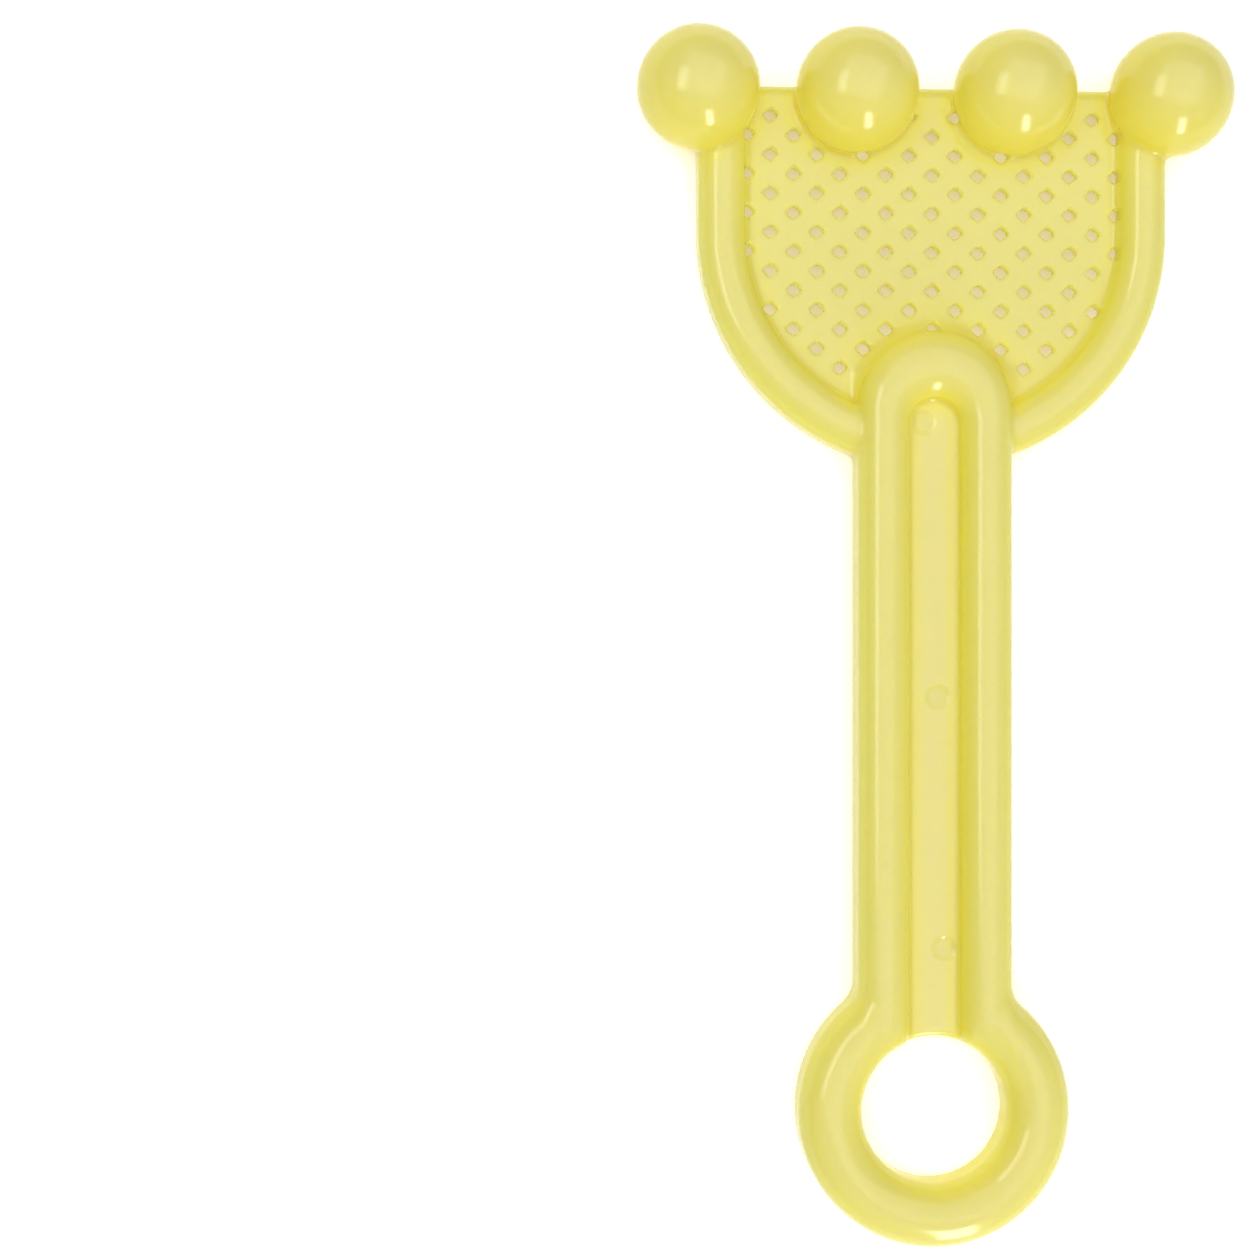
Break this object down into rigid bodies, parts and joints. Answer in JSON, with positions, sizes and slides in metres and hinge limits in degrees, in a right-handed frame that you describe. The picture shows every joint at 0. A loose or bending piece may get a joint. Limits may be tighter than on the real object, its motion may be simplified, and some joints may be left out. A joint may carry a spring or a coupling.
{
  "type": "sand rake",
  "caption": "Toy sand rake moulded in thin yellow plastic: sieve head with a half-round rim, ball-shaped tines, a channelled handle and a hanging ring.",
  "frame": {"origin": "centre of the hanging hole, on the plane of the open back on which the rake lies", "axes": "+Y along the handle from the hanging ring to the tines, +Z from the open back to the rounded face, +X to the right when looking at the face with the tines up"},
  "size_m": [0.0984, 0.2, 0.0171],
  "materials": {
    "yellow_polypropylene": "glossy, slightly translucent, as moulded"
  },
  "bodies": {
    "root": {"hang_ring": "yellow_polypropylene", "left_rail": "yellow_polypropylene", "right_rail": "yellow_polypropylene", "channel_floor": "yellow_polypropylene", "handle_arch": "yellow_polypropylene", "left_rim": "yellow_polypropylene", "right_rim": "yellow_polypropylene", "sieve_panel": "yellow_polypropylene", "front_lip": "yellow_polypropylene", "tine_1": "yellow_polypropylene", "tine_2": "yellow_polypropylene", "tine_3": "yellow_polypropylene", "tine_4": "yellow_polypropylene"}
  },
  "joints": []
}
